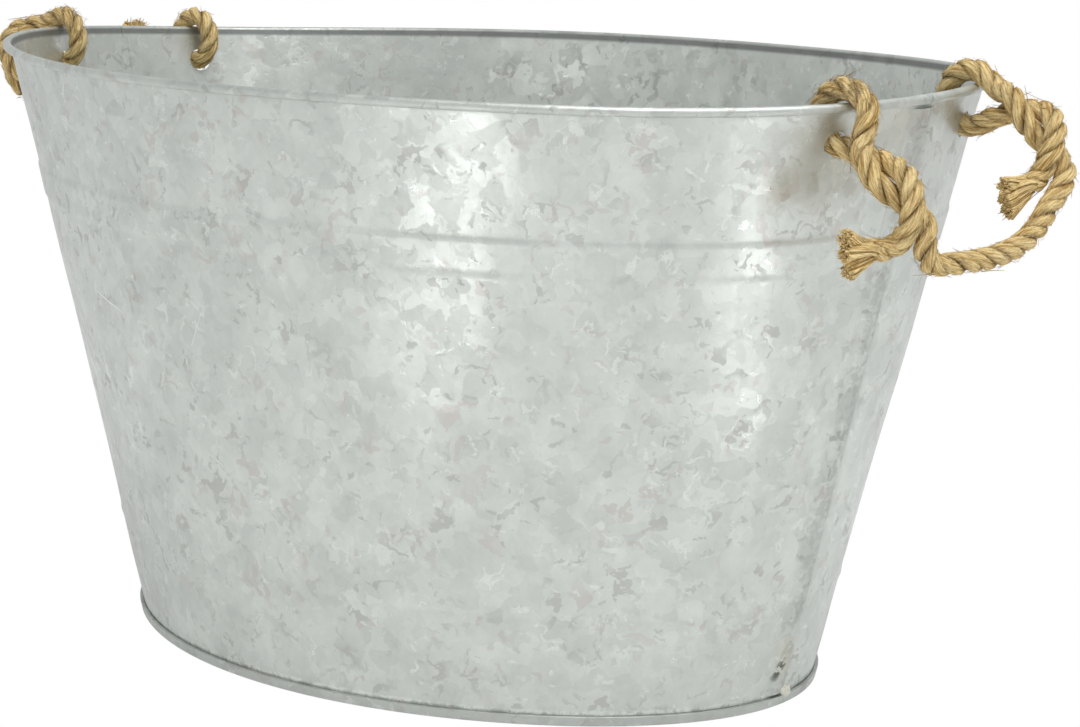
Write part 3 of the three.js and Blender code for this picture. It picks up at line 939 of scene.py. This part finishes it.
def ramp(tree, value, low, high, to_low=0.0, to_high=1.0):
    """The share of the way from low to high, or a value between two others."""
    keys = {"Value": value, 1: low, 2: high, 3: to_low, 4: to_high}
    return node(tree, "MapRange", keys).outputs[0]


def noise(tree, where, scale, detail=2.0, rough=0.5, swirl=0.0):
    keys = {"Vector": where, "Scale": scale, "Detail": detail}
    keys |= {"Roughness": rough, "Distortion": swirl}
    return node(tree, "TexNoise", keys).outputs


def solid(colour):
    """A colour with full opacity. A socket stays as it is."""
    return colour if isinstance(colour, bpy.types.NodeSocket) else (*colour, 1)


def blend(tree, factor, a, b):
    """Colour a where the factor is 0, and colour b where it is 1."""
    keys = {0: factor, 6: solid(a), 7: solid(b)}
    return node(tree, "Mix", keys, data_type="RGBA").outputs[2]


def near_line(tree, where, start, end, reach):
    """1 on the line between two points in millimetres, falling to 0 at the reach."""
    start = Vector(start) * MM
    way = Vector(end) * MM - start
    off = vectors(tree, "SUBTRACT", where, tuple(start))
    along = measure(tree, "DOT_PRODUCT", off, tuple(way / way.length_squared))
    share = node(tree, "Clamp", {0: along}).outputs[0]
    foot = scaled(tree, tuple(way), share)
    return ramp(tree, measure(tree, "DISTANCE", off, foot), reach * MM, 0)


def outward(tree, where):
    """1 on the faces that look away from the tub's upright axis, and 0 on those towards it."""
    flat = vectors(tree, "MULTIPLY", where, (1, 1, 0))
    facing = node(tree, "NewGeometry").outputs["Normal"]
    return ramp(tree, measure(tree, "DOT_PRODUCT", flat, facing), -0.05, 0.05)


def leaves(tree, where, seed, scale, share):
    """Leaf-shaped islands with one crisp and one fading side."""
    moved = vectors(tree, "ADD", where, seed)
    shape = noise(tree, moved, scale, 1.5, 0.5, 1.3)["Fac"]
    fade = noise(tree, moved, scale * 0.55, 1.0)["Fac"]
    crisp = ramp(tree, shape, 0.66 - share, 0.69 - share)
    return times(tree, crisp, ramp(tree, fade, 0.40, 0.62))


def zinc_material(name, light, dark, gloss=0.37, tilt=0.06, wall=True):
    """Galvanised sheet: soft clouds and leaf-shaped crystals of various tones and slants."""
    made, tree, shader = material(name)
    where = node(tree, "TexCoord").outputs["Object"]
    sway = noise(tree, where, 120, 3, 0.55)["Color"]
    sway = vectors(tree, "SUBTRACT", sway, (0.5, 0.5, 0.5))
    bent = vectors(tree, "ADD", where, scaled(tree, sway, 0.011))
    cells = node(tree, "TexVoronoi", {"Vector": bent, "Scale": 105}).outputs["Color"]
    cell = node(tree, "SeparateColor", {0: cells}).outputs
    clouds = noise(tree, where, 42, 3, 0.55)["Fac"]
    fine = noise(tree, bent, 210, 3, 0.6)["Fac"]
    tone = plus(tree, cell[0], 0.26, times(tree, clouds, 0.8))
    tone = plus(tree, fine, 0.35, tone)
    colour = blend(tree, ramp(tree, tone, 0.45, 0.95), dark, light)
    shards = leaves(tree, bent, (3.1, 7.7, 1.3), 105, 0.07)
    colour = blend(tree, times(tree, shards, 0.6), colour, GREY_LEAF)
    brown = leaves(tree, bent, (9.2, 1.4, 5.6), 70, 0.05)
    colour = blend(tree, times(tree, brown, 0.55), colour, BROWN_LEAF)
    pale = leaves(tree, bent, (5.5, 2.2, 8.1), 120, 0.05)
    colour = blend(tree, times(tree, pale, 0.5), colour, PALE_LEAF)
    level = xyz(tree, where)[2]
    if wall:
        colour = wall_marks_and_painted_light(tree, where, level, fine, colour)
    else:
        # Painted shade on the fold of the foot seam, below about 5 mm
        band = ramp(tree, level, 0.0052, 0.0046)
        colour = blend(tree, times(tree, band, 0.25), colour, FOOT_FOLD_PAINTED_SHADE)
    tree.links.new(colour, shader.inputs["Base Color"])
    shader.inputs["Metallic"].default_value = 0.8
    polish = plus(tree, cell[1], 0.14, gloss - 0.07)
    polish = plus(tree, shards, 0.12, polish)
    polish = plus(tree, pale, -0.08, polish)
    if wall:
        across = xyz(tree, where)[1]
        seam = ramp(tree, maths(tree, "ABSOLUTE", across), 0.011, 0.007)
        seam = times(tree, seam, outward(tree, where))
        polish = plus(tree, seam, 0.25, polish)
        bead = attribute(tree, "level")["Fac"]
        polish = plus(tree, ramp(tree, bead, 291, 293), 0.15, polish)
    tree.links.new(polish, shader.inputs["Roughness"])
    facing = node(tree, "NewGeometry").outputs["Normal"]
    lean = vectors(tree, "SUBTRACT", cells, (0.5, 0.5, 0.5))
    leaning = vectors(tree, "ADD", facing, scaled(tree, lean, tilt))
    leaning = vectors(tree, "NORMALIZE", leaning)
    relief = plus(tree, pale, 0.5, maths(tree, "SUBTRACT", fine, shards))
    relief = plus(tree, noise(tree, where, 75)["Fac"], 3.0, relief)
    keys = {"Strength": 0.14, "Distance": 0.0005, "Height": relief, "Normal": leaning}
    bump = node(tree, "Bump", keys)
    tree.links.new(bump.outputs[0], shader.inputs["Normal"])
    return made


def wall_marks_and_painted_light(tree, where, level, fine, colour):
    """Painted shade on the rim's bead, painted light in the foot seam, the mottled lock seam, two
    scratches, and the stain and scuff above the sealant."""
    # Painted shade on the rim's bead, strongest on its inner face
    rim = attribute(tree, "level")["Fac"]
    rim = times(tree, ramp(tree, rim, 291.8, 293.2), ramp(tree, rim, 296.4, 295.2))
    outside = outward(tree, where)
    rim = times(tree, rim, ramp(tree, outside, 0, 1, 0.85, 0.12))
    colour = blend(tree, rim, colour, RIM_SHADE)
    # Painted light in pale bits along the foot seam, breaking up its shade
    foot = ramp(tree, level, 0.0046, 0.0054)
    foot = times(tree, foot, ramp(tree, level, 0.0078, 0.0062))
    foot = times(tree, foot, ramp(tree, fine, 0.42, 0.55, 0, 0.8))
    colour = blend(tree, foot, colour, FOOT_SEAM_PAINTED_LIGHT)
    across = xyz(tree, where)[1]
    seam = ramp(tree, maths(tree, "ABSOLUTE", across), 0.0075, 0.004)
    seam = times(tree, seam, ramp(tree, fine, 0.46, 0.56, 0.1, 0.6))
    seam = times(tree, seam, outside)
    colour = blend(tree, seam, colour, SEAM_MOTTLE)
    for start, end in SCRATCHES:
        edge = near_line(tree, where, start, end, 1.6)
        colour = blend(tree, times(tree, edge, 0.35), colour, SCRATCH_EDGE)
        scratch = near_line(tree, where, start, end, 0.8)
        colour = blend(tree, times(tree, scratch, 0.9), colour, SCRATCH_BRIGHT)
    stain = near_line(tree, where, *STAIN_LINE, 7)
    stain = times(tree, stain, ramp(tree, fine, 0.35, 0.6, 0.15, 0.6))
    colour = blend(tree, stain, colour, STAIN)
    scuff = near_line(tree, where, *SCUFF_LINE, 4)
    scuff = times(tree, ramp(tree, scuff, 0.2, 0.6), ramp(tree, fine, 0.43, 0.53))
    return blend(tree, times(tree, scuff, 0.85), colour, SCUFF)


def rope_material(name, light, mid, dark, deep):
    """Sisal: pale and brown yarns along the rope, with painted shade between yarns and strands."""
    made, tree, shader = material(name)
    lay = attribute(tree, "lay")["Vector"]
    shade = attribute(tree, "shade")["Vector"]
    shade = xyz(tree, shade)
    drawn = node(tree, "Mapping", {"Vector": lay, "Scale": (1, 1, 0.09)}).outputs[0]
    yarns = noise(tree, drawn, 0.62, 2, 0.5)["Fac"]
    fibres = noise(tree, drawn, 1.9, 4, 0.65)["Fac"]
    where = node(tree, "TexCoord").outputs["Object"]
    patch = noise(tree, where, 70)["Fac"]
    both = plus(tree, yarns, 0.5, times(tree, fibres, 0.5))
    colour = blend(tree, ramp(tree, both, 0.41, 0.48), dark, mid)
    colour = blend(tree, ramp(tree, both, 0.47, 0.56), colour, light)
    colour = blend(tree, ramp(tree, patch, 0.40, 0.7, 0, 0.3), colour, mid)
    threads = noise(tree, drawn, 3.4, 2, 0.6)["Fac"]
    colour = blend(tree, ramp(tree, threads, 0.46, 0.39, 0, 0.75), colour, dark)
    colour = blend(tree, ramp(tree, threads, 0.56, 0.63, 0, 0.5), colour, light)
    # Painted shade in the grooves between the yarns, and deeper between the strands
    colour = blend(tree, times(tree, shade[0], 0.45), colour, dark)
    colour = blend(tree, times(tree, shade[1], 0.9), colour, deep)
    tree.links.new(colour, shader.inputs["Base Color"])
    shader.inputs["Roughness"].default_value = 0.7
    shader.inputs["Specular IOR Level"].default_value = 0.2
    keys = {"Strength": 0.9, "Distance": 0.0007, "Height": maths(tree, "ADD", fibres, threads)}
    bump = node(tree, "Bump", keys)
    tree.links.new(bump.outputs[0], shader.inputs["Normal"])
    return made


def white_to_camera(tree, light, white, output):
    """One shader for the light, and a white one for what the camera sees itself."""
    seen = node(tree, "LightPath").outputs["Is Camera Ray"]
    both = node(tree, "MixShader", {0: seen, 1: light.outputs[0], 2: white.outputs[0]})
    node(tree, output, {"Surface": both.outputs[0]})


def white_surface(name, tone, glow):
    """Lights the object as a pale lit table does, and is plain white where the camera sees it."""
    made, tree, _ = material(name)
    tree.nodes.clear()
    card = node(tree, "BsdfDiffuse", {"Color": (tone, tone, tone, 1)})
    lit = node(tree, "Emission", {"Color": (1, 1, 1, 1), "Strength": glow})
    table = node(tree, "AddShader", {0: card.outputs[0], 1: lit.outputs[0]})
    white = node(tree, "Emission", {"Color": (1, 1, 1, 1), "Strength": 1})
    white_to_camera(tree, table, white, "OutputMaterial")
    return made


def world_light(level, above):
    """Even light from the side that falls off overhead; plain white where the camera sees it."""
    world = bpy.data.worlds.new("studio")
    bpy.context.scene.world = world
    world.use_nodes = True
    tree = world.node_tree
    tree.nodes.clear()
    way = node(tree, "TexCoord").outputs["Generated"]
    height = xyz(tree, way)[2]
    tone = ramp(tree, height, 0.0, 0.9, level, above)
    soft = node(tree, "Background", {"Color": (1, 1, 1, 1), "Strength": tone})
    white = node(tree, "Background", {"Color": (1, 1, 1, 1), "Strength": 1})
    white_to_camera(tree, soft, white, "OutputWorld")


def area_light(name, stand, turn, width, length, power):
    """A flat light that shines along its own -Z."""
    data = bpy.data.lights.new(name, "AREA")
    data.shape = "RECTANGLE"
    data.size = width
    data.size_y = length
    data.energy = power
    light = add_object(name, data)
    light.location = stand
    light.rotation_euler = turn
    light.visible_camera = False


def aimed(stand, target):
    """The turn of a light that shines on a target."""
    return (Vector(target) - Vector(stand)).to_track_quat("-Z", "Y").to_euler()


# The ropes, first among the pieces
rope = rope_material("sisal", *SISAL)
hair = rope_material("sisal_hair", *SISAL_HAIR)
for handle in HANDLES:
    name = handle["name"]
    rng = random.Random(name)
    line, at = resample(catmull(rope_route(handle), 24), 1.0)
    line = rounded(line)
    strands = strand_lines(line, at, rng)
    centres = [strand["centre"] for strand in strands]
    laid = rope_strands(name + "_strands", line, at, strands)
    fibres = stray_fibres(name + "_fibres", line, rng)
    front, back = handle["front"]["fan"], handle["back"]["fan"]
    backward = [centre[::-1] for centre in centres]
    ends = [
        opened_end(name + "_front_end", line[::-1], backward, front, rng),
        opened_end(name + "_back_end", line, centres, back, rng),
    ]
    for piece in [laid, fibres, *ends]:
        piece.data.materials.append(hair if piece == fibres else rope)
        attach(piece, handle["body"])
    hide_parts(handle["name"])

# The metal
zinc = zinc_material("zinc", ZINC_LIGHT, ZINC_DARK)
floor_zinc = zinc_material("zinc_floor", FLOOR_LIGHT, FLOOR_DARK, gloss=0.45, wall=False)
cutters = hole_cutters()
for name, side in (("front_sheet", -1), ("back_sheet", 1)):
    half = panel(name, side)
    cut_holes(half, cutters)
    if side < 0:
        join_into(half, lock_fillings())
    mark_levels(half)
    half.data.materials.clear()
    half.data.materials.append(zinc)
    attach(half, "tub")
    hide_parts("front_panel" if side < 0 else "back_panel")
for cutter in cutters:
    bpy.data.objects.remove(cutter)
floor_sheet = base("base_sheet")
floor_sheet.data.materials.append(floor_zinc)
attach(floor_sheet, "tub")
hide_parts("base_panel")
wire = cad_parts["rim_wire"].data
wire.materials.clear()
wire.materials.append(zinc)

# The sealant
sealant, tree, shader = material("sealant")
where = node(tree, "TexCoord").outputs["Object"]
lumps = noise(tree, where, 700)["Fac"]
colour = blend(tree, ramp(tree, lumps, 0.3, 0.7), SEALANT_DARK, SEALANT_LIGHT)
tree.links.new(colour, shader.inputs["Base Color"])
shader.inputs["Roughness"].default_value = 0.5
bpy.ops.mesh.primitive_ico_sphere_add(subdivisions=5, radius=1)
blob = bpy.context.object
blob.name = "sealant_blob"
low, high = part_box("sealant_dab")
middle = (np.array(low) + np.array(high)) / 2 / MM
ball = np.array([vertex.co[:] for vertex in blob.data.vertices])
lump = 1 + 0.14 * np.sin(2.3 * ball[:, 0] + 3.1 * ball[:, 2] + 1)
lump = lump + 0.1 * np.sin(5.2 * ball[:, 1] - 3.7 * ball[:, 2])
ball = middle + (1.0, -2.4, 0) + ball * lump[:, None] * (2.3, 3.2, 3.0)
blob.data.vertices.foreach_set("co", (ball * MM).ravel())
blob.data.polygons.foreach_set("use_smooth", [True] * len(blob.data.polygons))
blob.data.materials.append(sealant)
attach(blob, "tub")
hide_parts("sealant_dab")

# Studio
bpy.ops.mesh.primitive_plane_add(size=12)
ground = bpy.context.object
ground.name = "ground"
ground.data.materials.append(white_surface("ground", tone=0.55, glow=0.37))
world_light(level=0.76, above=0.34)
KEY = (0.85, -0.3, 2.2)
CARD = (-0.6, -2.0, 0.6)
FRONT_STRIP = (0.137, -0.73, 0.004)
SIDE_STRIP = (0.59, -0.12, 0.004)
side_turn = (math.pi, 0, math.radians(57))
area_light("key", KEY, aimed(KEY, (0.1, -0.05, 0.2)), width=1.3, length=1.3, power=34)
area_light("inside_glint", CARD, aimed(CARD, (0, 0.1, 0.25)), width=1.0, length=0.4, power=1.1)
area_light("front_strip", FRONT_STRIP, (math.pi, 0, 0), width=0.08, length=0.5, power=0.36)
area_light("side_strip", SIDE_STRIP, side_turn, width=0.07, length=0.3, power=0.12)
